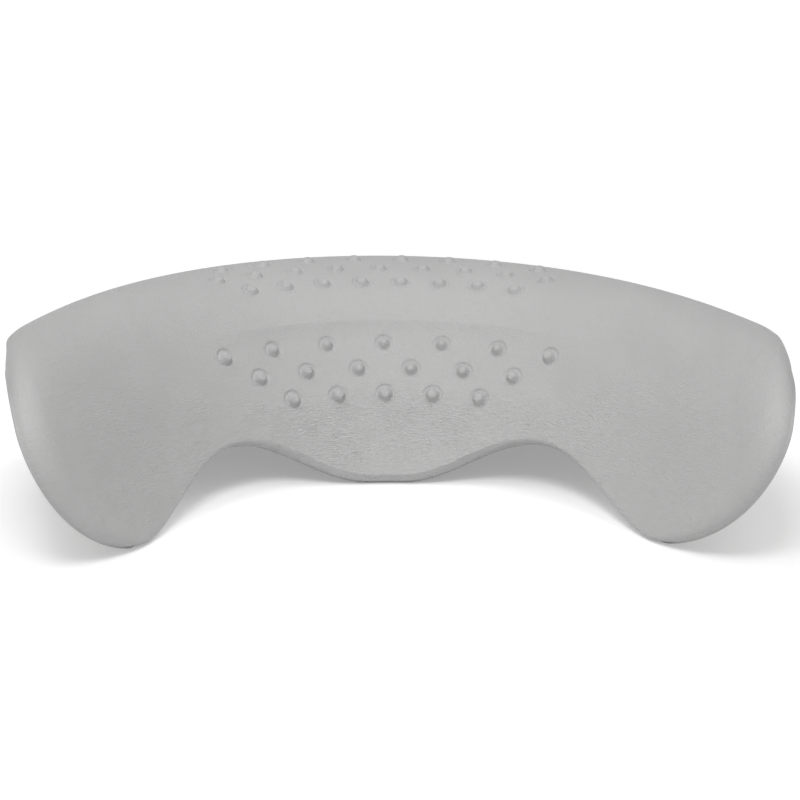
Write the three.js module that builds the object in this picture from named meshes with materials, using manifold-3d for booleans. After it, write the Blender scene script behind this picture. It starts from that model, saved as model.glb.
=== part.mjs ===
import * as THREE from 'three';
import { mergeVertices } from 'three/addons/utils/BufferGeometryUtils.js';
import Module from 'manifold-3d';

// Wrap-around bath pillow: a moulded foam saddle that stands on its lower lip, its two wing tips
// and its rear edge, with four push pins in its concave back. Millimetres and degrees, +Z up,
// the face towards -Y.

const wasm = await Module();
wasm.setup();

// Plan: the crest runs sideways and turns forward into two wings.
const halfSpan = 268;
const turnLength = 250;
const wingTurn = 69;
const fanShare = 0.32;

// Face: it leans back from the lower lip, bends over the crest and drops to the rear edge.
const lipLean = 26;
const lowerBend = { angle: 30.5, middle: 84, width: 93 };
const crestBend = { angle: 38, middle: 122, width: 75 };
const rearBend = { angle: 85.5, middle: 180, width: 84 };
const planPlace = 90;

// Crease: a hollow across the face, crisp at its upper edge and easing out over the lower rows.
const creasePlace = 86;
const creaseDepth = 2.2;
const creaseClimb = 12;
const creaseFall = 40;
const creaseInner = 40;
const creaseReach = 120;

// Outline: two arches in the lower lip, rounded wing tips and drawn-in rear corners.
const archCentre = 92;
const archInnerReach = 84;
const archOuterReach = 83;
const archHeight = 27;
const tipPlace = 175;
const tipRise = 87;
const tipPower = 1.55;
const tipRoundness = 1.7;
const tipDrop = 2;
const rearCornerPlace = 165;
const rearCornerRise = 34;
const rearDraw = 50;
const lipBlend = 120;
const rearBlend = 150;

// Padding: full in the middle, thinner towards each edge.
const fullDepth = 26;
const lipDepth = 9;
const sideDepth = 14;
const rearDepth = 14;
const lipFall = 62;
const sideFall = 48;
const rearFall = 80;
const lipRoll = 4;
const sideRoll = 11;
const rearRoll = 9;
const frontSkin = 2.2;
const backSkin = 1.8;
const gap = 0.3;
const sheetGap = 0.5;
const wallGap = 0.9;
const restCut = 0.5;

// Massage nubs: three rows low on the face and three over the crest.
const nubRadius = 4.4;
const nubHeight = 1.9;
const nubRoot = 1.3;
const nubSides = 6;
const rowStep = 14.2;
const lowerRows = { place: 45, pitch: 26.5, spread: 2.25, counts: [5, 6, 7] };
const upperRows = { place: 112.5, pitch: 20, spread: 1.7, counts: [8, 9, 8] };

// Push pins and the inserts that hold them.
const wingPinInset = 80;
const wingPinUp = 88;
const middlePinAcross = 58;
const middlePinUp = 84;
const pinPairs = [
  { name: 'wing', across: halfSpan - wingPinInset, up: wingPinUp },
  { name: 'middle', across: middlePinAcross, up: middlePinUp },
];
const pinRadius = 3.6;
const pinInside = 10;
const pinOutside = 19;
const collarRadius = 9;
const collarDepth = 2;
const barbRadius = 4.8;
const barbPitch = 4.5;
const barbCount = 3;
const noseRadius = 1.6;
const boreGap = 0.3;
const boreEnd = 0.8;
const insertWall = 2.8;
const insertFloor = 2;
const insertProud = 1.6;
const flangeRadius = 17;
const flangeDepth = 2.4;
const flangePlace = 5;
const turnedSides = 14;

// Finish of each piece.
const skinColour = 0xb9b9b7;
const foamColour = 0x8f8f8c;
const plasticColour = 0xe4e3dd;
const insertColour = 0x4a4b4d;

// Mesh steps.
const columnCells = 20;
const endSpacingShare = 0.4;
const rowShares = [0, 0.15, 0.25, 0.33, 0.395, 0.46, 0.535, 0.605, 0.67, 0.745, 1];
const travelSteps = 60;
const nudge = 0.01;
const weldReach = 0.001;
const overrun = 2;

const radians = THREE.MathUtils.degToRad;
const smoothstep = THREE.MathUtils.smoothstep;
const lerp = THREE.MathUtils.lerp;

// How far a path gets, along and across its start direction, when its heading follows angleAt.
function travel(angleAt, from, to) {
  const step = (to - from) / travelSteps;
  let along = 0;
  let across = 0;
  for (let i = 0; i < travelSteps; i += 1) {
    const angle = angleAt(from + (i + 1 / 2) * step);
    along += Math.cos(angle) * step;
    across += Math.sin(angle) * step;
  }
  return { along, across };
}

function planTurn(across) {
  const share = THREE.MathUtils.clamp(across / turnLength, -1, 1);
  return radians(wingTurn) * Math.sin((share * Math.PI) / 2);
}

function bendAt(bend, up) {
  return bend.angle * smoothstep(up, bend.middle - bend.width / 2, bend.middle + bend.width / 2);
}

function leanAt(up) {
  return radians(lipLean + bendAt(lowerBend, up) + bendAt(crestBend, up) + bendAt(rearBend, up));
}

// The lip's inner edge is the lowest point, so the rear edge is brought down level with it.
const floorLevel = restCut - lipDepth * Math.sin(radians(lipLean));

function lengthToFloor() {
  const turned = rearBend.middle + rearBend.width / 2;
  return turned + travel(leanAt, 0, turned).along - floorLevel;
}

const faceLength = lengthToFloor();
const planDepth = travel(leanAt, 0, planPlace).across;

function surfacePoint(across, up) {
  const plan = travel(planTurn, 0, across);
  const rise = travel(leanAt, 0, up);
  const fan = fanShare * planTurn(across);
  const depth = rise.across - planDepth;
  return new THREE.Vector3(
    plan.along + depth * Math.sin(fan),
    depth * Math.cos(fan) - plan.across,
    rise.along,
  );
}

function surfaceNormal(across, up) {
  const sideways = surfacePoint(across + nudge, up).sub(surfacePoint(across - nudge, up));
  const upwards = surfacePoint(across, up + nudge).sub(surfacePoint(across, up - nudge));
  return sideways.cross(upwards).normalize();
}

// Height of the lower lip and of the rear edge, along the face.
function lipPlace(across) {
  const reach = across < archCentre ? archInnerReach : archOuterReach;
  const arch = THREE.MathUtils.clamp((across - archCentre) / reach, -1, 1);
  const tip = THREE.MathUtils.clamp((across - tipPlace) / (halfSpan - tipPlace), 0, 1);
  const rise = tipRise * (1 - (1 - tip ** tipPower) ** (1 / tipRoundness));
  const drop = tipDrop * smoothstep(across, archCentre, tipPlace);
  return archHeight * Math.cos((arch * Math.PI) / 2) ** 2 + rise - drop;
}

function rearPlace(across) {
  const corner = Math.max(0, (across - rearCornerPlace) / (halfSpan - rearCornerPlace));
  return faceLength - rearCornerRise * corner ** 2;
}

function rollAt(across, isLip) {
  const start = isLip ? tipPlace : rearCornerPlace;
  return lerp(isLip ? lipRoll : rearRoll, sideRoll, smoothstep(Math.abs(across), start, halfSpan));
}

function rimDepthAt(across, isLip) {
  const start = isLip ? tipPlace : rearCornerPlace;
  return lerp(isLip ? lipDepth : rearDepth, sideDepth, smoothstep(across, start, halfSpan));
}

function depthAt(across, up) {
  const width = Math.abs(across);
  const side = 1 - smoothstep(halfSpan - width, 0, sideFall);
  const lip = 1 - smoothstep(up - lipPlace(width), 0, lipFall);
  const rear = 1 - smoothstep(rearPlace(width) - up, 0, rearFall);
  const lipLoss = (fullDepth - rimDepthAt(width, true)) * lip;
  const rearLoss = (fullDepth - rimDepthAt(width, false)) * rear;
  const sideLoss = (fullDepth - sideDepth) * side * (1 - lip) * (1 - rear);
  return fullDepth - lipLoss - rearLoss - sideLoss;
}

function creaseAt(across, up) {
  const reach = 1 - smoothstep(Math.abs(across), creaseInner, creaseReach);
  const below = creasePlace - up;
  const climb = 1 - (1 - THREE.MathUtils.clamp(below / creaseClimb, 0, 1)) ** 2;
  const fall = 1 - smoothstep(below, creaseClimb, creaseClimb + creaseFall);
  return creaseDepth * reach * climb * fall;
}

// A place on the face for a share of its width and of its length, drawn in from the outline.
function placeAt(columnShare, rowShare, inset) {
  const width = Math.abs(columnShare) * halfSpan;
  const slope = (lipPlace(width) - lipPlace(width - nudge)) / nudge;
  const upwards = inset(width, true) / Math.hypot(1, slope);
  const sideways = Math.abs(columnShare) * inset(halfSpan, true);
  const flat = rowShare * faceLength;
  const lipShare = Math.max(0, 1 - flat / lipBlend);
  const rearShare = Math.max(0, (flat - rearBlend) / (faceLength - rearBlend));
  const rear = rearPlace(width) - inset(width, false);
  const up = flat + lipShare * (lipPlace(width) + upwards) - rearShare * (faceLength - rear);
  const reach = halfSpan - rearDraw * smoothstep(up, lipBlend, faceLength);
  const drawnIn = lerp(sideways, upwards * slope, lipShare);
  return { across: columnShare * reach - Math.sign(columnShare) * drawnIn, up };
}

function layerPoint(columnShare, rowShare, layer) {
  const { across, up } = placeAt(columnShare, rowShare, layer.inset);
  const inward = surfaceNormal(across, up).multiplyScalar(-layer.depth(across, up));
  return surfacePoint(across, up).add(inward);
}

const columnShares = Array.from({ length: columnCells + 1 }, (_, i) => {
  const even = (2 * i) / columnCells - 1;
  return lerp(even, Math.sin((even * Math.PI) / 2), endSpacingShare);
});

function gridPlaces() {
  return rowShares.flatMap((row) => columnShares.map((column) => [column, row]));
}

function rimPlaces() {
  const rows = rowShares.slice(1, -1);
  const bottom = columnShares.map((column) => [column, 0]);
  const right = rows.map((row) => [columnShares.at(-1), row]);
  const top = columnShares.map((column) => [column, 1]).reverse();
  const left = rows.map((row) => [columnShares[0], row]).reverse();
  return [...bottom, ...right, ...top, ...left];
}

// Closed body: a face sheet, bands round the rim through each ring, and a back sheet. Its four-sided
// cells are split alike on both sides of the middle, and alike in sheets that lie on each other.
function sheetBody(faceLayer, rings, backLayer) {
  const points = [];
  const faces = [];
  const rim = rimPlaces();
  const across = columnShares.length;
  const addLayer = (places, layer) => {
    const start = points.length;
    places.forEach(([column, row]) => points.push(layerPoint(column, row, layer)));
    return start;
  };
  const rimOfGrid = (start) => rim.map(
    ([column, row]) => start + rowShares.indexOf(row) * across + columnShares.indexOf(column),
  );
  const addCell = (a, b, c, d, otherWay) => {
    faces.push(...(otherWay ? [a, b, d, b, c, d] : [a, b, c, a, c, d]));
  };
  const addSheet = (start, turned) => {
    for (let j = 0; j + 1 < rowShares.length; j += 1) {
      for (let i = 0; i + 1 < across; i += 1) {
        const a = start + j * across + i;
        const [b, c, d] = [a + 1, a + across + 1, a + across];
        const isLeft = columnShares[i] < 0;
        addCell(a, turned ? d : b, c, turned ? b : d, isLeft);
      }
    }
  };
  const addBand = (upper, lower, turned) => {
    upper.forEach((a, i) => {
      const next = (i + 1) % upper.length;
      const isLeft = rim[i][0] + rim[next][0] < 0;
      addCell(a, lower[i], lower[next], upper[next], isLeft !== turned);
    });
  };
  const faceStart = addLayer(gridPlaces(), faceLayer);
  addSheet(faceStart, false);
  let edge = rimOfGrid(faceStart);
  rings.forEach((ring) => {
    const start = addLayer(rim, ring);
    const next = rim.map((_, i) => start + i);
    addBand(edge, next, false);
    edge = next;
  });
  const backStart = addLayer(gridPlaces(), backLayer);
  addBand(edge, rimOfGrid(backStart), rings.length > 0);
  addSheet(backStart, true);
  const geometry = new THREE.BufferGeometry();
  geometry.setAttribute('position', new THREE.Float32BufferAttribute(points.flatMap((p) => p.toArray()), 3));
  geometry.setIndex(faces);
  return geometry;
}

function toSolid(geometry) {
  const bare = geometry.clone();
  bare.deleteAttribute('normal');
  bare.deleteAttribute('uv');
  const merged = mergeVertices(bare, weldReach);
  const vertProperties = new Float32Array(merged.attributes.position.array);
  const triVerts = new Uint32Array(merged.index.array);
  return new wasm.Manifold(new wasm.Mesh({ numProp: 3, vertProperties, triVerts }));
}

function toGeometry(solid) {
  const mesh = solid.getMesh();
  const geometry = new THREE.BufferGeometry();
  geometry.setAttribute('position', new THREE.BufferAttribute(mesh.vertProperties, 3));
  geometry.setIndex(new THREE.BufferAttribute(mesh.triVerts, 1));
  geometry.computeVertexNormals();
  return geometry;
}

// Layers of the padding, each with its inset from the outline and its depth under the face.
const underFace = (depth) => (across, up) => depth + creaseAt(across, up);
const overBack = (height) => (across, up) => depthAt(across, up) - height;
const rolledDepth = (across, up) => rollAt(across, up < planPlace);
const rolled = (extra) => (across, isLip) => rollAt(across, isLip) + extra;
const level = (inset) => () => inset;

function frontSkinBody() {
  return sheetBody(
    { inset: rolled(0), depth: underFace(0) },
    [
      { inset: level(0), depth: rolledDepth },
      { inset: level(0), depth: overBack(0) },
      { inset: level(frontSkin), depth: overBack(0) },
      { inset: level(frontSkin), depth: overBack(backSkin + gap) },
    ],
    { inset: rolled(0), depth: underFace(frontSkin) },
  );
}

function foamBody() {
  return sheetBody(
    { inset: rolled(wallGap), depth: underFace(frontSkin + sheetGap) },
    [],
    { inset: level(frontSkin + wallGap), depth: overBack(backSkin + gap) },
  );
}

function backSkinBody() {
  return sheetBody(
    { inset: level(frontSkin + wallGap), depth: overBack(backSkin) },
    [],
    { inset: level(frontSkin + wallGap), depth: overBack(0) },
  );
}

// Turns and moves a lathed piece so that its axis leaves the back face square to the face.
function pinFrame(place) {
  const outward = surfaceNormal(place.across, place.up).negate();
  const seat = surfacePoint(place.across, place.up);
  seat.addScaledVector(outward, depthAt(place.across, place.up));
  const turn = new THREE.Quaternion().setFromUnitVectors(new THREE.Vector3(0, 1, 0), outward);
  return new THREE.Matrix4().compose(seat, turn, new THREE.Vector3(1, 1, 1));
}

function lathe(profile, place) {
  const points = profile.map(([radius, height]) => new THREE.Vector2(radius, height));
  return new THREE.LatheGeometry(points, turnedSides).applyMatrix4(pinFrame(place));
}

// Profiles run along the pin's axis from the inner end; height 0 is the back face, and the
// insert's end stands proud of it.
const boreRadius = pinRadius + boreGap;
const barrelRadius = boreRadius + insertWall;
const boreBottom = insertProud - pinInside - boreEnd;
const pinSeat = insertProud + gap;

function insertProfile(grown) {
  const barrel = barrelRadius + grown;
  const flange = flangeRadius + grown;
  const flangeTop = -flangePlace + grown;
  const flangeBottom = -flangePlace - flangeDepth - grown;
  const bottom = boreBottom - insertFloor - grown;
  return [[0, bottom], [barrel, bottom], [barrel, flangeBottom], [flange, flangeBottom],
    [flange, flangeTop], [barrel, flangeTop]];
}

function insertBody(place) {
  const bore = [[barrelRadius, insertProud], [boreRadius, insertProud], [boreRadius, boreBottom],
    [0, boreBottom]];
  return lathe([...insertProfile(0), ...bore], place);
}

function insertPocket(place) {
  const open = [[barrelRadius + gap, overrun], [0, overrun]];
  return lathe([...insertProfile(gap), ...open], place);
}

function pinBody(place) {
  const inner = insertProud - pinInside;
  const face = pinSeat + collarDepth;
  const end = pinSeat + pinOutside;
  const profile = [[0, inner], [pinRadius, inner], [pinRadius, pinSeat], [collarRadius, pinSeat],
    [collarRadius, face], [pinRadius, face]];
  for (let i = barbCount; i > 0; i -= 1) {
    const root = end - barbPitch * i;
    profile.push([pinRadius, root], [barbRadius, root]);
  }
  profile.push([noseRadius, end], [0, end]);
  return lathe(profile, place);
}

function nubBody(across, up) {
  const height = nubHeight + nubRoot;
  const rootRadius = (nubRadius * height) / nubHeight;
  const geometry = new THREE.ConeGeometry(rootRadius, height, nubSides);
  const normal = surfaceNormal(across, up);
  const proud = height / 2 - nubRoot - creaseAt(across, up);
  const centre = surfacePoint(across, up).addScaledVector(normal, proud);
  geometry.applyQuaternion(new THREE.Quaternion().setFromUnitVectors(new THREE.Vector3(0, 1, 0), normal));
  return geometry.translate(...centre);
}

function nubBodies() {
  return [lowerRows, upperRows].flatMap((rows) => rows.counts.flatMap((count, row) => {
    const pitch = rows.pitch + rows.spread * row;
    const up = rows.place + rowStep * row;
    return Array.from({ length: count }, (_, i) => nubBody((i - (count - 1) / 2) * pitch, up));
  }));
}

// Everything below the rest plane is cut away, so that the lip and the tips stand on flats.
function floorBody() {
  const side = 2 * halfSpan;
  const geometry = new THREE.BoxGeometry(side, side, fullDepth);
  return geometry.translate(0, 0, floorLevel - fullDepth / 2);
}

const pinPlaces = [-1, 1].flatMap((side) => pinPairs.map((pair) => (
  { name: `${side < 0 ? 'left' : 'right'}_${pair.name}`, across: side * pair.across, up: pair.up }
)));
const floor = toSolid(floorBody());
const pockets = pinPlaces.map((place) => toSolid(insertPocket(place)));
const cutPockets = (solid) => pockets.reduce((rest, pocket) => rest.subtract(pocket), solid);

const skinSolid = nubBodies().reduce((skin, nub) => skin.add(toSolid(nub)), toSolid(frontSkinBody()));

function finish(color, roughness) {
  return new THREE.MeshStandardMaterial({ color, roughness, metalness: 0 });
}

const pillow = new THREE.Group();

function addPiece(name, geometry, color, roughness) {
  const mesh = new THREE.Mesh(geometry, finish(color, roughness));
  mesh.name = name;
  pillow.add(mesh);
}

addPiece('front_skin', toGeometry(skinSolid.subtract(floor)), skinColour, 0.55);
addPiece('foam_core', toGeometry(cutPockets(toSolid(foamBody()))), foamColour, 0.9);
addPiece('back_skin', toGeometry(cutPockets(toSolid(backSkinBody()))), skinColour, 0.6);
pinPlaces.forEach((place) => {
  addPiece(`insert_${place.name}`, insertBody(place), insertColour, 0.5);
  addPiece(`pin_${place.name}`, pinBody(place), plasticColour, 0.35);
});

// The origin is on the rest plane, under the middle of the whole pillow.
const box = new THREE.Box3().setFromObject(pillow);
pillow.position.set(0, -(box.min.y + box.max.y) / 2, -floorLevel);

export default pillow;
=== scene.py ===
import math

import bpy
import numpy as np
from mathutils import Matrix, Vector


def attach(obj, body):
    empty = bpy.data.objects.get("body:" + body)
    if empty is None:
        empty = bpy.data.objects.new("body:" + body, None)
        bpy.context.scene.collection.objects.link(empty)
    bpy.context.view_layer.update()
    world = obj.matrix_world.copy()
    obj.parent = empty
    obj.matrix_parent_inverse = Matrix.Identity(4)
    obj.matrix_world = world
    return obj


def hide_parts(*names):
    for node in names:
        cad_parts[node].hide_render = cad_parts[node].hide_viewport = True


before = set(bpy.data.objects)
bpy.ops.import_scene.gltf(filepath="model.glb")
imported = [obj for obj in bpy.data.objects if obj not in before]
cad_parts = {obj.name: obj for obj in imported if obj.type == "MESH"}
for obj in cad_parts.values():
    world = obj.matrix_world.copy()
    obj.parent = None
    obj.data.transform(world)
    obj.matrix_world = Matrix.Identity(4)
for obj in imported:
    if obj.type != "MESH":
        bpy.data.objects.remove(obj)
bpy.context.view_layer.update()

# Wrap-around bath pillow: a moulded, self-skinned foam saddle with massage nubs and four push pins.
# Sizes are in millimetres, and MM turns them into Blender's metres.
MM = 0.001

# The photograph's camera: its direction, its distance, and a target with the pixel where it shows.
CAMERA_AZIMUTH = -4.26
CAMERA_ELEVATION = 16.6
CAMERA_ROLL = 1.01
CAMERA_DISTANCE = 1400
CAMERA_TARGET = (0, 5.14, 38.45)
TARGET_PIXEL = (387.5, 412.4)
IMAGE_SIZE = 800
PIXELS_PER_MM = 1.917
SENSOR_WIDTH = 36
CAMERA_CLIP = (50, 50000)

# Plan of the crest and lean of the face, as on the solids.
HALF_SPAN = 268
TURN_LENGTH = 250
WING_TURN = 69
FAN_SHARE = 0.32
LIP_LEAN = 26
BENDS = (
    {"angle": 30.5, "middle": 84, "width": 93},
    {"angle": 38, "middle": 122, "width": 75},
    {"angle": 85.5, "middle": 180, "width": 84},
)
PLAN_PLACE = 90

# Crease: a hollow across the face, crisp at its upper edge and easing out over the lower rows.
CREASE_PLACE = 86
CREASE_DEPTH = 2.2
CREASE_CLIMB = 12
CREASE_FALL = 40
CREASE_INNER = 40
CREASE_REACH = 120

# The wings' outer edges are rounded off, the lobe's lip flares forward, and a bevel runs under it.
EDGE_DROP = 4
EDGE_REACH = 32
FLARE = 2.6
FLARE_RISE = 42
FLARE_WIDTHS = (25, 80)
BEVEL_DEPTH = 3.4
BEVEL_WIDTHS = (45, 85)

# Outline of the face, as on the solids: a lobe between two arches, round wing tips, and corners
# drawn in at the rear.
ARCH_CENTRE = 92
ARCH_INNER_REACH = 84
ARCH_OUTER_REACH = 83
ARCH_HEIGHT = 27
TIP_PLACE = 175
TIP_RISE = 87
TIP_POWER = 1.55
TIP_ROUNDNESS = 1.7
TIP_DROP = 2
REAR_CORNER_PLACE = 165
REAR_CORNER_RISE = 34
REAR_DRAW = 50
LIP_BLEND = 120
REAR_BLEND = 150

# Depth of the padding, roll of the edges, skins and the gaps between them, and the parting line.
FULL_DEPTH = 26
LIP_DEPTH = 9
SIDE_DEPTH = 14
REAR_DEPTH = 14
LIP_FALL = 62
SIDE_FALL = 48
REAR_FALL = 80
LIP_ROLL = 2.3
SIDE_ROLL = 11
REAR_ROLL = 9
FRONT_SKIN = 2.2
BACK_SKIN = 1.8
GAP = 0.3
SHEET_GAP = 0.5
WALL_GAP = 0.9
REST_CUT = 0.5
RIM_ROUND = 1.2
PARTING_SHARE = 0.78
PARTING_PROUD = 0.5
PARTING_WIDTH = 0.7

# Rings of the parting line: place across it, in widths, and share of how far it stands proud.
PARTING_RINGS = ((-1, 0), (-0.4, 1), (0.4, 1), (1, 0))

# Massage nubs, each a steep dome in a shallow dish, and the small pip that the mould's vent leaves.
NUB_RADIUS = 4.3
NUB_HEIGHT = 3
CREST_NUB_HEIGHT = 1.9
NUB_TOP_RADIUS = 1.7
DISH_RADIUS = 5.8
DISH_DEPTH = 0.7
ROW_STEP = 14.2
NUB_ROWS = (
    {"place": 45, "pitch": 26.5, "spread": 2.25, "counts": (5, 6, 7)},
    {"place": 112.5, "pitch": 20, "spread": 1.7, "counts": (8, 9, 8)},
)
PIP_PLACE = (-101.5, 75)
PIP_RADIUS = 1.4
PIP_HEIGHT = 0.5

# Push pins, the sockets that hold them, and how far the pockets' cutters run out past the back.
PINS = {
    "left_wing": (-188, 88),
    "left_middle": (-58, 84),
    "right_middle": (58, 84),
    "right_wing": (188, 88),
}
PIN_RADIUS = 3.6
PIN_INSIDE = 10
PIN_OUTSIDE = 19
COLLAR_RADIUS = 9
COLLAR_DEPTH = 2
BARB_RADIUS = 4.8
BARB_PITCH = 4.5
BARB_COUNT = 3
NOSE_RADIUS = 1.6
BORE_GAP = 0.3
BORE_END = 0.8
INSERT_WALL = 2.8
INSERT_FLOOR = 2
INSERT_PROUD = 1.6
FLANGE_RADIUS = 17
FLANGE_DEPTH = 2.4
FLANGE_PLACE = 5
OVERRUN = 2
EDGE_BREAK = 0.4
BREAK_SHARE = 0.3
TURNED_SIDES = 64
SHARP_ANGLE = 35

# Mesh steps, and the small step that slopes are taken over.
FINE_STEP = 0.5
FACE_STEP = 2.4
FINE_TOP = 160
SIDE_CELLS = 10
INNER_STRIDE = 4
ROLL_STEPS = 7
TRAVEL_REACH = 1.5 * HALF_SPAN
TRAVEL_STEPS = 1200
NUDGE = 0.01

# Grain of the moulded skin: deep lateral wrinkles low on the face, higher up and calmer on the wings,
# gone at their outer edges. Scales are cells in a metre.
GRAIN_RISE = (36, 58)
GRAIN_WIDTHS = (95, 150)
GRAIN_RAISE = 32
GRAIN_END = (222, 246)
GRAIN_LEAST = 0.2
GRAIN_CALM = 0.55
WRINKLE_SCALES = (420, 1300, 1)
STIPPLE_SCALE = 1300
STIPPLE_DEPTH = 0.35
PATCH_SCALE = 26
PATCH_RANGE = (0.35, 0.65)
PATCH_LEAST = 0.5
# Colour of the skin: random patches of tone, painted shade in the wrinkles' hollows with painted light
# on their ridges, and painted light where the grain is deepest.
PATCH_WEAR = 0.4
PATCH_AND_WRINKLE_SHADE_SHARE = 0.5
PAINTED_LIGHT_SHARE = 0.75
SKIN_SPREAD = 0.14
SKIN_DEPTH = 1.4
LINING_DEPTH = 0.12

# Colours, roughness, and the textures of the foam and of the moulded plastics.
SKIN_COLOUR = (0.509, 0.509, 0.507)
LINING_COLOUR = (0.47, 0.47, 0.46)
FOAM_COLOUR = (0.30, 0.295, 0.28)
PIN_COLOUR = (0.76, 0.75, 0.71)
INSERT_COLOUR = (0.07, 0.07, 0.075)
SKIN_ROUGHNESS = (0.42, 0.52)
FOAM_ROUGHNESS = (0.8, 0.95)
PIN_ROUGHNESS = (0.32, 0.42)
INSERT_ROUGHNESS = (0.45, 0.6)
NOISE_RANGE = (0.25, 0.75)
FOAM_SPREAD = 0.25
FLOW_SPREAD = 0.05
CELL_SCALE = 700.0
CELL_DEPTH = 0.4
SPARK_SCALE = 2600
SPARK_DEPTH = 0.03
FLOW_SCALES = (60, 60, 260)

# Studio: a pale floor that is seen as white, an even sky and three soft boxes.
FLOOR_REACH = 6000
FLOOR_DROP = 0.3
FLOOR_COLOUR = (0.8, 0.8, 0.8, 1)
FLOOR_WHITE = (0.3, 0.6)
FLOOR_WHITE_REACH = (250, 1600)
SKY_STRENGTH = 0.48
LAMPS = (
    {"name": "key", "azimuth": -14, "elevation": 54, "distance": 1800, "size": 600, "power": 13},
    {"name": "left", "azimuth": -75, "elevation": 66, "distance": 1800, "size": 700, "power": 4.8},
    {"name": "right", "azimuth": 65, "elevation": 66, "distance": 1800, "size": 700, "power": 3.6},
)


def smoothstep(value, low, high):
    share = np.clip((value - low) / (high - low), 0, 1)
    return share * share * (3 - 2 * share)


def lerp(low, high, share):
    return low + (high - low) * share


def plan_turn(across):
    return math.radians(WING_TURN) * np.sin(np.clip(across / TURN_LENGTH, -1, 1) * math.pi / 2)


def lean_at(up):
    lean = LIP_LEAN + 0 * up
    for bend in BENDS:
        half = bend["width"] / 2
        lean = lean + bend["angle"] * smoothstep(up, bend["middle"] - half, bend["middle"] + half)
    return np.radians(lean)


def travel_table(angle_at):
    """Places along a path from zero, and how far it gets along and across its start direction."""
    places = np.linspace(-TRAVEL_REACH, TRAVEL_REACH, 2 * TRAVEL_STEPS + 1)
    step = places[1] - places[0]
    angles = angle_at((places[1:] + places[:-1]) / 2)
    along = np.concatenate([[0], np.cumsum(np.cos(angles))]) * step
    across = np.concatenate([[0], np.cumsum(np.sin(angles))]) * step
    return places, along - along[TRAVEL_STEPS], across - across[TRAVEL_STEPS]


PLAN_TABLE = travel_table(plan_turn)
RISE_TABLE = travel_table(lean_at)


def travel(table, place):
    places, along, across = table
    return np.interp(place, places, along), np.interp(place, places, across)


FLOOR_LEVEL = REST_CUT - LIP_DEPTH * math.sin(math.radians(LIP_LEAN))
TURNED_PLACE = BENDS[-1]["middle"] + BENDS[-1]["width"] / 2
FACE_LENGTH = TURNED_PLACE + travel(RISE_TABLE, TURNED_PLACE)[0] - FLOOR_LEVEL
PLAN_DEPTH = travel(RISE_TABLE, PLAN_PLACE)[1]


def surface_point(across, up):
    plan_along, plan_across = travel(PLAN_TABLE, across)
    rise, back = travel(RISE_TABLE, up)
    fan = FAN_SHARE * plan_turn(across)
    depth = back - PLAN_DEPTH
    x = plan_along + depth * np.sin(fan)
    y = depth * np.cos(fan) - plan_across
    return np.stack([x, y, rise + 0 * x], axis=-1)


def surface_normal(across, up):
    sideways = surface_point(across + NUDGE, up) - surface_point(across - NUDGE, up)
    upwards = surface_point(across, up + NUDGE) - surface_point(across, up - NUDGE)
    normal = np.cross(sideways, upwards)
    return normal / np.linalg.norm(normal, axis=-1, keepdims=True)


def lip_place(width):
    reach = np.where(width < ARCH_CENTRE, ARCH_INNER_REACH, ARCH_OUTER_REACH)
    arch = np.clip((width - ARCH_CENTRE) / reach, -1, 1)
    tip = np.clip((width - TIP_PLACE) / (HALF_SPAN - TIP_PLACE), 0, 1)
    rise = TIP_RISE * (1 - (1 - tip**TIP_POWER) ** (1 / TIP_ROUNDNESS))
    drop = TIP_DROP * smoothstep(width, ARCH_CENTRE, TIP_PLACE)
    return ARCH_HEIGHT * np.cos(arch * math.pi / 2) ** 2 + rise - drop


def lip_slope(width):
    return (lip_place(width) - lip_place(width - NUDGE)) / NUDGE


def rear_place(width):
    corner = np.maximum(0, (width - REAR_CORNER_PLACE) / (HALF_SPAN - REAR_CORNER_PLACE))
    return FACE_LENGTH - REAR_CORNER_RISE * corner**2


def towards_side(across, is_lip, middle_value, side_value):
    start = np.where(is_lip, TIP_PLACE, REAR_CORNER_PLACE)
    return lerp(middle_value, side_value, smoothstep(np.abs(across), start, HALF_SPAN))


def roll_at(across, is_lip):
    return towards_side(across, is_lip, np.where(is_lip, LIP_ROLL, REAR_ROLL), SIDE_ROLL)


def rim_depth_at(across, is_lip):
    return towards_side(across, is_lip, np.where(is_lip, LIP_DEPTH, REAR_DEPTH), SIDE_DEPTH)


def depth_at(across, up):
    width = np.abs(across)
    side = 1 - smoothstep(HALF_SPAN - width, 0, SIDE_FALL)
    lip = 1 - smoothstep(up - lip_place(width), 0, LIP_FALL)
    rear = 1 - smoothstep(rear_place(width) - up, 0, REAR_FALL)
    lip_loss = (FULL_DEPTH - rim_depth_at(width, True)) * lip
    rear_loss = (FULL_DEPTH - rim_depth_at(width, False)) * rear
    side_loss = (FULL_DEPTH - SIDE_DEPTH) * side * (1 - lip) * (1 - rear)
    return FULL_DEPTH - lip_loss - rear_loss - side_loss


def crease_at(across, up):
    reach = 1 - smoothstep(np.abs(across), CREASE_INNER, CREASE_REACH)
    below = CREASE_PLACE - up
    climb = 1 - (1 - np.clip(below / CREASE_CLIMB, 0, 1)) ** 2
    fall = 1 - smoothstep(below, CREASE_CLIMB, CREASE_CLIMB + CREASE_FALL)
    return CREASE_DEPTH * reach * climb * fall


def side_reach(up):
    return HALF_SPAN - REAR_DRAW * smoothstep(up, LIP_BLEND, FACE_LENGTH)


def edge_drop_at(across, up):
    """How far the face falls away towards the outer edges of the wings."""
    width = np.abs(across)
    from_lip = (up - lip_place(width)) / np.hypot(1, lip_slope(width))
    near = np.clip(1 - np.minimum(from_lip, side_reach(up) - width) / EDGE_REACH, 0, 1)
    return EDGE_DROP * near**2 * smoothstep(width, TIP_PLACE, HALF_SPAN)


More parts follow.
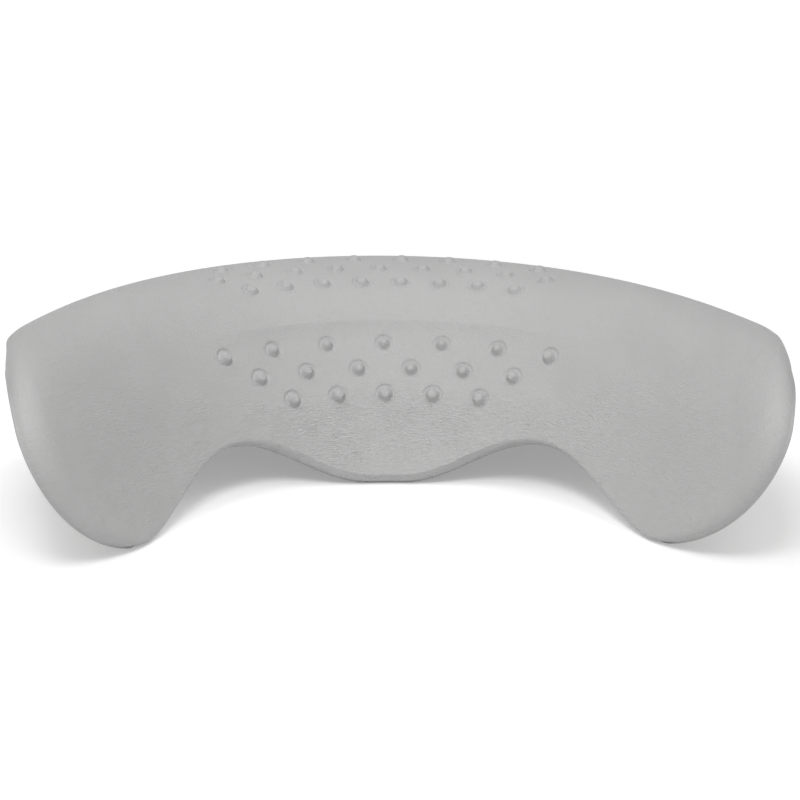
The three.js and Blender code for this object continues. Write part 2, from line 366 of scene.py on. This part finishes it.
def place_at(column, row, inset):
    """A place on the face for a share of its width and of its length, drawn in from the outline."""
    width = np.abs(column) * HALF_SPAN
    slope = lip_slope(width)
    upwards = inset(width, True) / np.hypot(1, slope)
    sideways = np.abs(column) * inset(np.array(HALF_SPAN), True)
    flat = row * FACE_LENGTH
    lip_share = np.maximum(0, 1 - flat / LIP_BLEND)
    rear_share = np.maximum(0, (flat - REAR_BLEND) / (FACE_LENGTH - REAR_BLEND))
    rear = rear_place(width) - inset(width, False)
    up = flat + lip_share * (lip_place(width) + upwards) - rear_share * (FACE_LENGTH - rear)
    drawn_in = lerp(sideways, upwards * slope, lip_share)
    return column * side_reach(up) - np.sign(column) * drawn_in, up


def under_face(depth):
    return lambda across, up: depth + crease_at(across, up) + edge_drop_at(across, up)


def over_back(height):
    return lambda across, up: depth_at(across, up) - height


def rolled(extra):
    return lambda across, is_lip: roll_at(across, is_lip) + extra


def level(inset):
    return lambda across, is_lip: inset + 0 * across


def nub_places():
    for rows in NUB_ROWS:
        for row, count in enumerate(rows["counts"]):
            pitch = rows["pitch"] + rows["spread"] * row
            for i in range(count):
                yield (i - (count - 1) / 2) * pitch, rows["place"] + ROW_STEP * row


def stepped(stops, steps):
    """Shares from stop to stop, each stretch in steps of about its own size."""
    shares = [stops[0]]
    for low, high, step in zip(stops, stops[1:], steps):
        cells = max(1, round((high - low) / step))
        shares += [lerp(low, high, (i + 1) / cells) for i in range(cells)]
    return np.array(shares)


def face_columns():
    """Column shares: fine across the nubs, and finer and finer towards the rounded sides."""
    reach = max(abs(across) for across, _ in nub_places()) + 2 * DISH_RADIUS
    side = HALF_SPAN - SIDE_ROLL
    middle = stepped([-side, -reach, reach, side], [FACE_STEP, FINE_STEP, FACE_STEP])
    left = 1 - np.arange(1, SIDE_CELLS + 1) / SIDE_CELLS
    outer = HALF_SPAN - SIDE_ROLL * left**2
    return np.concatenate([-outer[::-1], middle, outer]) / HALF_SPAN


def face_rows():
    """Row shares: fine to just past the crest's last nubs, and coarser down the back."""
    return stepped([0, FINE_TOP, FACE_LENGTH], [FINE_STEP, FACE_STEP]) / FACE_LENGTH


def thinned(shares):
    kept = list(range(0, len(shares) - 1, INNER_STRIDE)) + [len(shares) - 1]
    return shares[kept]


def rim_places(columns, rows):
    inner = rows[1:-1]
    return np.array(
        [(c, 0) for c in columns]
        + [(columns[-1], r) for r in inner]
        + [(c, 1) for c in columns[::-1]]
        + [(columns[0], r) for r in inner[::-1]]
    )


def layer_points(places, layer):
    inset, depth = layer
    across, up = place_at(places[:, 0], places[:, 1], inset)
    points = surface_point(across, up) - surface_normal(across, up) * depth(across, up)[:, None]
    return points, np.stack([across, up], axis=-1)


def grid_places(columns, rows):
    return np.array([(c, r) for r in rows for c in columns])


def rim_of_grid(columns, rows, start):
    wide, tall = len(columns), len(rows)
    bottom = [start + i for i in range(wide)]
    right = [start + j * wide + wide - 1 for j in range(1, tall - 1)]
    top = [start + (tall - 1) * wide + i for i in reversed(range(wide))]
    left = [start + j * wide for j in reversed(range(1, tall - 1))]
    return bottom + right + top + left


def grid_faces(columns, rows, start, turned):
    faces = []
    wide = len(columns)
    for j in range(len(rows) - 1):
        for i in range(wide - 1):
            a = start + j * wide + i
            face = (a, a + 1, a + wide + 1, a + wide)
            faces.append(face[::-1] if turned else face)
    return faces


def band_faces(upper, lower):
    count = len(upper)
    return [
        (upper[i], lower[i], lower[(i + 1) % count], upper[(i + 1) % count]) for i in range(count)
    ]


def thinning_band(upper, lower, upper_places, lower_places):
    """Faces from a fine rim to a coarse one, whose places are some of the fine rim's."""
    where = {tuple(np.round(place, 9)): i for i, place in enumerate(upper_places)}
    count = len(upper)
    faces = []
    for i, corner in enumerate(lower):
        first = where[tuple(np.round(lower_places[i], 9))]
        last = where[tuple(np.round(lower_places[(i + 1) % len(lower)], 9))]
        run = [upper[(first + k) % count] for k in range((last - first) % count + 1)]
        faces.append(tuple(run[::-1] + [corner, lower[(i + 1) % len(lower)]]))
    return faces


def sheet_body(columns, rows, face_layer, rings, back_layer, inner=None):
    """Closed body: a face sheet, a ring of points for each layer round the rim, and a back sheet."""
    rim = rim_places(columns, rows)
    points, surface = layer_points(grid_places(columns, rows), face_layer)
    points, surface = [points], [surface]
    faces = grid_faces(columns, rows, 0, False)
    edge = rim_of_grid(columns, rows, 0)
    start = len(points[0])
    for ring in rings:
        ring_points, ring_surface = layer_points(rim, ring)
        points.append(ring_points)
        surface.append(ring_surface)
        new_edge = list(range(start, start + len(rim)))
        faces += band_faces(edge, new_edge)
        edge = new_edge
        start += len(rim)
    back_columns, back_rows = inner or (columns, rows)
    back_points, back_surface = layer_points(grid_places(back_columns, back_rows), back_layer)
    points.append(back_points)
    surface.append(back_surface)
    back_edge = rim_of_grid(back_columns, back_rows, start)
    if inner:
        faces += thinning_band(edge, back_edge, rim, rim_places(back_columns, back_rows))
    else:
        faces += band_faces(edge, back_edge)
    faces += grid_faces(back_columns, back_rows, start, True)
    return np.concatenate(points), np.concatenate(surface), faces


def lift(points, surface, reached, place, height_at, radius):
    """Moves the face's points round a place out along the face's normal, by their distance."""
    centre = surface_point(*(np.array(value) for value in place))
    near = np.linalg.norm(points[:reached] - centre, axis=1)
    inside = np.flatnonzero(near < radius)
    normal = surface_normal(surface[inside, 0], surface[inside, 1])
    points[inside] += normal * height_at(near[inside])[:, None]


def nub_profile(up):
    """Height of a nub in its dish by the distance from its middle: lower nubs on the crest."""
    height = DISH_DEPTH + (CREST_NUB_HEIGHT if up > CREASE_PLACE else NUB_HEIGHT)

    def profile(near):
        dome = height * (1 - smoothstep(near, NUB_TOP_RADIUS, NUB_RADIUS))
        return dome - DISH_DEPTH * (1 - smoothstep(near, NUB_RADIUS, DISH_RADIUS))

    return profile


def pip_profile(near):
    return PIP_HEIGHT * (1 - smoothstep(near, 0, PIP_RADIUS))


def lobe_share(across, is_lip):
    return is_lip * (1 - smoothstep(np.abs(across), *BEVEL_WIDTHS))


def rolled_ring(step):
    """Inset and depth of one ring of the face's edge: rolled, but a bevel under the lobe."""
    angle = math.pi / 2 * step / ROLL_STEPS
    bevel = smoothstep(step, 0, ROLL_STEPS)

    def inset(across, is_lip):
        lobe = lobe_share(across, is_lip)
        return lerp(1 - math.sin(angle), 1 - bevel, lobe) * roll_at(across, is_lip)

    def depth(across, up):
        is_lip = up < PLAN_PLACE
        lobe = lobe_share(across, is_lip)
        share = lerp(1 - math.cos(angle), bevel, lobe)
        deepest = lerp(roll_at(across, is_lip), BEVEL_DEPTH, lobe)
        return share * deepest + (1 - share) * edge_drop_at(across, up)

    return inset, depth


def skin_rings():
    """Rings from the face's edge to the inside of the rim: roll, parting line, rim and its return."""
    rings = [rolled_ring(step + 1) for step in range(ROLL_STEPS)]
    for offset, proud in PARTING_RINGS:
        rings.append((
            level(-PARTING_PROUD * proud),
            lambda across, up, offset=offset: parting_depth(across, up) + offset * PARTING_WIDTH,
        ))
    for angle in (0, math.pi / 4, math.pi / 2):
        rings.append((
            level(RIM_ROUND * (1 - math.cos(angle))),
            over_back(RIM_ROUND * (1 - math.sin(angle))),
        ))
    rings.append((level(FRONT_SKIN), over_back(0)))
    rings.append((level(FRONT_SKIN), over_back(BACK_SKIN + GAP)))
    return rings


def parting_depth(across, up):
    roll = roll_at(across, up < PLAN_PLACE)
    return lerp(roll, depth_at(across, up), PARTING_SHARE) - PARTING_WIDTH


def settle(points, shift):
    """Moves points into the object's frame, flares the lobe and eases the lowest points to the floor."""
    points = points + shift
    height = points[:, 2]
    near_lip = np.clip(1 - height / FLARE_RISE, 0, 1) ** 2
    points[:, 1] -= FLARE * near_lip * (1 - smoothstep(np.abs(points[:, 0]), *FLARE_WIDTHS))
    eased = (np.maximum(height, -REST_CUT) + REST_CUT) ** 2 / (4 * REST_CUT)
    points[:, 2] = np.where(height < REST_CUT, eased, height)
    return points


def new_object(name, points, faces, surface=None):
    mesh = bpy.data.meshes.new(name)
    mesh.from_pydata((points * MM).tolist(), [], faces)
    mesh.validate()
    mesh.shade_smooth()
    if surface is not None:
        layer = mesh.uv_layers.new(name="surface")
        corners = np.empty(len(mesh.loops), dtype=np.int32)
        mesh.loops.foreach_get("vertex_index", corners)
        layer.data.foreach_set("uv", (surface[corners] * MM).astype(np.float32).ravel())
    piece = bpy.data.objects.new(name, mesh)
    bpy.context.scene.collection.objects.link(piece)
    return piece


def make_front_skin():
    columns, rows = face_columns(), face_rows()
    inner = (thinned(columns), thinned(rows))
    points, surface, faces = sheet_body(
        columns, rows,
        (rolled(0), under_face(0)),
        skin_rings(),
        (rolled(0), under_face(FRONT_SKIN)),
        inner,
    )
    reached = len(columns) * len(rows)
    for place in nub_places():
        lift(points, surface, reached, place, nub_profile(place[1]), DISH_RADIUS)
    lift(points, surface, reached, PIP_PLACE, pip_profile, PIP_RADIUS)
    low, high = points.min(axis=0), points.max(axis=0)
    shift = np.array([0, -(low[1] + high[1]) / 2, -FLOOR_LEVEL])
    return new_object("moulded_skin", settle(points, shift), faces, surface), shift


def make_foam_core(shift):
    columns, rows = thinned(face_columns()), thinned(face_rows())
    points, surface, faces = sheet_body(
        columns, rows,
        (rolled(WALL_GAP), under_face(FRONT_SKIN + SHEET_GAP)),
        [],
        (level(FRONT_SKIN + WALL_GAP), over_back(BACK_SKIN + GAP)),
    )
    return new_object("foam_block", settle(points, shift), faces, surface)


def make_back_skin(shift):
    columns, rows = thinned(face_columns()), thinned(face_rows())
    points, surface, faces = sheet_body(
        columns, rows,
        (level(FRONT_SKIN + WALL_GAP), over_back(BACK_SKIN)),
        [],
        (level(FRONT_SKIN + WALL_GAP), over_back(0)),
    )
    return new_object("back_lining", settle(points, shift), faces, surface)


def pin_matrix(place, shift):
    """Stands a turned piece on the back face, with its axis square to the face."""
    across, up = (np.array(value) for value in place)
    outward = -surface_normal(across, up)
    seat = surface_point(across, up) + outward * depth_at(across, up) + shift
    turn = Vector((0, 0, 1)).rotation_difference(Vector(outward)).to_matrix().to_4x4()
    return Matrix.Translation(Vector(seat) * MM) @ turn


def turned_piece(name, profile, matrix):
    """A closed body turned about Z from a profile of (radius, height) points, first to last."""
    points = []
    faces = []
    rings = []
    for radius, height in profile:
        sides = TURNED_SIDES if radius > 0 else 1
        rings.append(list(range(len(points), len(points) + sides)))
        for i in range(sides):
            angle = 2 * math.pi * i / TURNED_SIDES
            points.append((radius * math.cos(angle), radius * math.sin(angle), height))
    for lower, upper in zip(rings, rings[1:]):
        for i in range(TURNED_SIDES):
            j = (i + 1) % TURNED_SIDES
            if len(lower) == 1:
                faces.append((lower[0], upper[j], upper[i]))
            elif len(upper) == 1:
                faces.append((lower[i], lower[j], upper[0]))
            else:
                faces.append((lower[i], lower[j], upper[j], upper[i]))
    piece = new_object(name, np.array(points), faces)
    piece.data.transform(matrix)
    piece.data.set_sharp_from_angle(angle=math.radians(SHARP_ANGLE))
    return piece


def broken(profile):
    """The profile with its sharp corners broken by short chamfers."""
    result = [profile[0]]
    for before, corner, after in zip(profile, profile[1:], profile[2:]):
        for other in (before, after):
            reach = math.dist(corner, other)
            share = min(EDGE_BREAK / reach, BREAK_SHARE)
            result.append(tuple(lerp(c, o, share) for c, o in zip(corner, other)))
    result.append(profile[-1])
    return result


BORE_RADIUS = PIN_RADIUS + BORE_GAP
BARREL_RADIUS = BORE_RADIUS + INSERT_WALL
BORE_BOTTOM = INSERT_PROUD - PIN_INSIDE - BORE_END
PIN_SEAT = INSERT_PROUD + GAP


def insert_outside(grown):
    barrel = BARREL_RADIUS + grown
    flange = FLANGE_RADIUS + grown
    top = -FLANGE_PLACE + grown
    bottom = -FLANGE_PLACE - FLANGE_DEPTH - grown
    end = BORE_BOTTOM - INSERT_FLOOR - grown
    return [(0, end), (barrel, end), (barrel, bottom), (flange, bottom), (flange, top), (barrel, top)]


def insert_profile():
    bore = [(BARREL_RADIUS, INSERT_PROUD), (BORE_RADIUS, INSERT_PROUD),
            (BORE_RADIUS, BORE_BOTTOM), (0, BORE_BOTTOM)]
    return broken(insert_outside(0) + bore)


def pocket_profile():
    return insert_outside(GAP) + [(BARREL_RADIUS + GAP, OVERRUN), (0, OVERRUN)]


def pin_profile():
    face = PIN_SEAT + COLLAR_DEPTH
    end = PIN_SEAT + PIN_OUTSIDE
    profile = [(0, INSERT_PROUD - PIN_INSIDE), (PIN_RADIUS, INSERT_PROUD - PIN_INSIDE),
               (PIN_RADIUS, PIN_SEAT), (COLLAR_RADIUS, PIN_SEAT), (COLLAR_RADIUS, face),
               (PIN_RADIUS, face)]
    for i in range(BARB_COUNT, 0, -1):
        profile += [(PIN_RADIUS, end - BARB_PITCH * i), (BARB_RADIUS, end - BARB_PITCH * i)]
    return broken(profile + [(NOSE_RADIUS, end), (0, end)])


def cut_pockets(piece, matrices):
    for matrix in matrices:
        cutter = turned_piece("cutter", pocket_profile(), matrix)
        cut = piece.modifiers.new("pocket", "BOOLEAN")
        cut.object = cutter
        cut.operation = "DIFFERENCE"
        cut.solver = "EXACT"
        bpy.context.view_layer.objects.active = piece
        bpy.ops.object.modifier_apply(modifier=cut.name)
        bpy.data.objects.remove(cutter)


class Shader:
    """A material with a Principled shader, and short calls to add nodes to it."""

    def __init__(self, name, **sockets):
        self.material = bpy.data.materials.new(name)
        self.material.use_nodes = True
        self.tree = self.material.node_tree
        self.surface = self.tree.nodes["Principled BSDF"]
        for socket, value in sockets.items():
            self.surface.inputs[socket.replace("_", " ")].default_value = value

    def add(self, kind, values=None, **settings):
        node = self.tree.nodes.new(kind)
        for name, value in settings.items():
            setattr(node, name, value)
        for socket, value in (values or {}).items():
            if hasattr(value, "is_output"):
                self.tree.links.new(value, node.inputs[socket])
            else:
                node.inputs[socket].default_value = value
        return node

    def maths(self, operation, first, second):
        node = self.add("ShaderNodeMath", {0: first, 1: second}, operation=operation)
        return node.outputs["Value"]

    def times(self, first, second):
        return self.maths("MULTIPLY", first, second)

    def ramp(self, value, from_low, from_high, to_low, to_high):
        names = {"Value": value, "From Min": from_low, "From Max": from_high,
                 "To Min": to_low, "To Max": to_high}
        return self.add("ShaderNodeMapRange", names, interpolation_type="SMOOTHSTEP").outputs[0]

    def ramp_between(self, value, places, to_low, to_high):
        low, high = (place * MM for place in places)
        return self.ramp(value, low, high, to_low, to_high)

    def noise(self, vector, scale, detail, roughness, distortion=0.0):
        names = {"Vector": vector, "Scale": scale, "Detail": detail, "Roughness": roughness,
                 "Distortion": distortion}
        return self.add("ShaderNodeTexNoise", names).outputs["Fac"]

    def stretch(self, vector, scale):
        return self.add("ShaderNodeMapping", {"Vector": vector, "Scale": scale}).outputs["Vector"]

    def shade(self, value, colour, spread):
        """Base colour that gets lighter and darker by a share as value goes from 0 to 1."""
        dark = (*[c * (1 - spread) for c in colour], 1)
        light = (*[c * (1 + spread) for c in colour], 1)
        node = self.add("ShaderNodeMix", data_type="RGBA")
        self.tree.links.new(value, node.inputs["Factor"])
        node.inputs["A"].default_value = dark
        node.inputs["B"].default_value = light
        self.tree.links.new(node.outputs["Result"], self.surface.inputs["Base Color"])

    def rough(self, value, low, high):
        roughness = self.ramp(value, *NOISE_RANGE, low, high)
        self.tree.links.new(roughness, self.surface.inputs["Roughness"])

    def bump(self, height, distance):
        node = self.add("ShaderNodeBump", {"Height": height, "Distance": distance * MM})
        self.tree.links.new(node.outputs["Normal"], self.surface.inputs["Normal"])

    def cover(self, piece):
        piece.data.materials.clear()
        piece.data.materials.append(self.material)


def skin_material(name, colour, grain_depth):
    """Moulded foam skin: lateral leather wrinkles low on the face, fine stipple elsewhere."""
    shader = Shader(name, Specular_IOR_Level=0.35)
    uv = shader.add("ShaderNodeUVMap", uv_map="surface").outputs["UV"]
    split = shader.add("ShaderNodeSeparateXYZ", {"Vector": uv})
    width = shader.maths("ABSOLUTE", split.outputs["X"], 0.0)
    raised = shader.ramp_between(width, GRAIN_WIDTHS, 0.0, GRAIN_RAISE * MM)
    up = shader.maths("SUBTRACT", split.outputs["Y"], raised)
    low_face = shader.ramp_between(up, GRAIN_RISE, 1.0, GRAIN_LEAST)
    stretched = shader.stretch(uv, WRINKLE_SCALES)
    wrinkles = shader.noise(stretched, 1.0, detail=3.0, roughness=0.6, distortion=1.0)
    stipple = shader.noise(uv, STIPPLE_SCALE, detail=2.0, roughness=0.6)
    broad = shader.noise(uv, PATCH_SCALE, detail=2.0, roughness=0.5)
    patches = shader.ramp(broad, *PATCH_RANGE, PATCH_LEAST, 1.0)
    calmer = shader.ramp_between(width, GRAIN_WIDTHS, 1.0, GRAIN_CALM)
    edge = shader.ramp_between(width, GRAIN_END, 1.0, 0.0)
    deep = shader.times(shader.times(low_face, patches), shader.times(calmer, edge))
    grain = shader.times(wrinkles, deep)
    fine = shader.times(stipple, STIPPLE_DEPTH)
    shader.bump(shader.maths("ADD", grain, fine), grain_depth)
    # Painted shade: the colour darkens in the wrinkles' hollows and lightens on their ridges, following
    # the bump.
    painted_wrinkle_shade = shader.times(shader.maths("SUBTRACT", wrinkles, 0.5), deep)
    patches_and_painted_wrinkle_shade = shader.maths("ADD", shader.times(broad, PATCH_WEAR), painted_wrinkle_shade)
    # Painted light: the colour is made lighter where the grain is deepest, making up for the shade its
    # bump gives.
    painted_light_lift = shader.times(deep, PAINTED_LIGHT_SHARE)
    patches_painted_shade_and_light = shader.maths("ADD", shader.times(patches_and_painted_wrinkle_shade, PATCH_AND_WRINKLE_SHADE_SHARE), painted_light_lift)
    shader.shade(patches_painted_shade_and_light, colour, SKIN_SPREAD)
    shader.rough(broad, *SKIN_ROUGHNESS)
    return shader


def foam_material():
    shader = Shader("closed_cell_foam", Specular_IOR_Level=0.2)
    place = shader.add("ShaderNodeTexCoord").outputs["Object"]
    cells = shader.add("ShaderNodeTexVoronoi", {"Vector": place, "Scale": CELL_SCALE},
                       feature="SMOOTH_F1").outputs["Distance"]
    shader.bump(cells, CELL_DEPTH)
    # Painted shade: the colour darkens into each cell's hollow, where the bump dips.
    shader.shade(cells, FOAM_COLOUR, FOAM_SPREAD)
    shader.rough(cells, *FOAM_ROUGHNESS)
    return shader


def plastic_material(name, colour, roughness):
    """Injection-moulded plastic: faint flow lines, a fine spark-eroded texture."""
    shader = Shader(name, Specular_IOR_Level=0.5)
    place = shader.add("ShaderNodeTexCoord").outputs["Object"]
    texture = shader.noise(place, SPARK_SCALE, detail=2.0, roughness=0.5)
    stretched = shader.stretch(place, FLOW_SCALES)
    flow = shader.noise(stretched, 1.0, detail=2.0, roughness=0.5, distortion=0.6)
    shader.bump(texture, SPARK_DEPTH)
    shader.shade(flow, colour, FLOW_SPREAD)
    shader.rough(flow, *roughness)
    return shader


def make_floor():
    """Pale floor: the camera sees it lit up to white, and whiter still far from the pillow."""
    reach = FLOOR_REACH * MM
    mesh = bpy.data.meshes.new("floor")
    corners = [(-reach, -reach, 0), (reach, -reach, 0), (reach, reach, 0), (-reach, reach, 0)]
    mesh.from_pydata(corners, [], [(0, 1, 2, 3)])
    floor = bpy.data.objects.new("floor", mesh)
    floor.location.z = -FLOOR_DROP * MM
    bpy.context.scene.collection.objects.link(floor)
    shader = Shader("pale_floor", Base_Color=FLOOR_COLOUR, Roughness=0.9,
                    Specular_IOR_Level=0.1, Emission_Color=(1, 1, 1, 1))
    paths = shader.add("ShaderNodeLightPath").outputs
    seen = shader.maths("MAXIMUM", paths["Is Camera Ray"], paths["Is Glossy Ray"])
    place = shader.add("ShaderNodeTexCoord").outputs["Object"]
    away = shader.add("ShaderNodeVectorMath", {0: place}, operation="LENGTH").outputs["Value"]
    white = shader.ramp_between(away, FLOOR_WHITE_REACH, *FLOOR_WHITE)
    shader.tree.links.new(shader.times(seen, white), shader.surface.inputs["Emission Strength"])
    floor.data.materials.append(shader.material)


def make_world():
    """White sky: full white where the camera sees it, and dimmer as a light."""
    world = bpy.data.worlds.new("studio")
    bpy.context.scene.world = world
    world.use_nodes = True
    tree = world.node_tree
    background = tree.nodes["Background"]
    background.inputs["Color"].default_value = (1, 1, 1, 1)
    paths = tree.nodes.new("ShaderNodeLightPath")
    seen = tree.nodes.new("ShaderNodeMath")
    seen.operation = "MAXIMUM"
    tree.links.new(paths.outputs["Is Camera Ray"], seen.inputs[0])
    tree.links.new(paths.outputs["Is Transmission Ray"], seen.inputs[1])
    strength = tree.nodes.new("ShaderNodeMapRange")
    tree.links.new(seen.outputs[0], strength.inputs["Value"])
    strength.inputs["To Min"].default_value = SKY_STRENGTH
    strength.inputs["To Max"].default_value = 1.0
    tree.links.new(strength.outputs[0], background.inputs["Strength"])


def make_lamp(name, azimuth, elevation, distance, size, power):
    """Square soft box that looks at the pillow; azimuth and elevation as the camera's are."""
    data = bpy.data.lights.new(name, "AREA")
    data.shape = "SQUARE"
    data.size = size * MM
    data.energy = power
    lamp = bpy.data.objects.new(name, data)
    back = back_vector(azimuth, elevation)
    lamp.location = back * distance * MM
    lamp.rotation_euler = (-back).to_track_quat("-Z", "Y").to_euler()
    bpy.context.scene.collection.objects.link(lamp)


def back_vector(azimuth, elevation):
    a, e = math.radians(azimuth), math.radians(elevation)
    return Vector((math.sin(a) * math.cos(e), -math.cos(a) * math.cos(e), math.sin(e)))


def make_camera():
    """The photograph's camera: it looks at the picture's middle, found from where the target shows."""
    data = bpy.data.cameras.new("camera")
    data.sensor_width = SENSOR_WIDTH
    data.lens = PIXELS_PER_MM * CAMERA_DISTANCE / IMAGE_SIZE * SENSOR_WIDTH
    data.clip_start, data.clip_end = (reach * MM for reach in CAMERA_CLIP)
    camera = bpy.data.objects.new("camera", data)
    back = back_vector(CAMERA_AZIMUTH, CAMERA_ELEVATION)
    turn = (-back).to_track_quat("-Z", "Y")
    right, up = turn @ Vector((1, 0, 0)), turn @ Vector((0, 1, 0))
    target = Vector(CAMERA_TARGET)
    middle = IMAGE_SIZE / 2
    aim = (target + right * (middle - TARGET_PIXEL[0]) / PIXELS_PER_MM
           - up * (middle - TARGET_PIXEL[1]) / PIXELS_PER_MM)
    camera.location = (target + back * CAMERA_DISTANCE) * MM
    direction = aim * MM - camera.location
    roll = Matrix.Rotation(math.radians(CAMERA_ROLL), 3, "Z")
    looking = direction.to_track_quat("-Z", "Y").to_matrix() @ roll
    camera.rotation_euler = looking.to_euler()
    bpy.context.scene.collection.objects.link(camera)
    bpy.context.scene.camera = camera


bpy.context.scene.view_settings.view_transform = "Standard"
make_camera()
make_world()
for lamp_values in LAMPS:
    make_lamp(**lamp_values)
make_floor()

skin, frame_shift = make_front_skin()
foam = make_foam_core(frame_shift)
back = make_back_skin(frame_shift)
pin_frames = {name: pin_matrix(place, frame_shift) for name, place in PINS.items()}
cut_pockets(foam, pin_frames.values())
cut_pockets(back, pin_frames.values())

skin_material("foam_skin", SKIN_COLOUR, SKIN_DEPTH).cover(skin)
skin_material("back_foam_skin", LINING_COLOUR, LINING_DEPTH).cover(back)
foam_material().cover(foam)
for piece, node, slot in ((skin, "front_skin", "skin"), (foam, "foam_core", "foam"),
                          (back, "back_skin", "back_skin")):
    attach(piece, "pillow")
    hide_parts(node)

pin_plastic = plastic_material("pin_plastic", PIN_COLOUR, PIN_ROUGHNESS)
insert_plastic = plastic_material("insert_plastic", INSERT_COLOUR, INSERT_ROUGHNESS)
for name, matrix in pin_frames.items():
    pin = turned_piece(f"barbed_pin_{name}", pin_profile(), matrix)
    insert = turned_piece(f"pin_socket_{name}", insert_profile(), matrix)
    pin_plastic.cover(pin)
    insert_plastic.cover(insert)
    for piece, node, body, slot in ((pin, f"pin_{name}", f"push_pin_{name}", "pin"),
                                    (insert, f"insert_{name}", "pillow", "insert")):
        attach(piece, body)
        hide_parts(node)
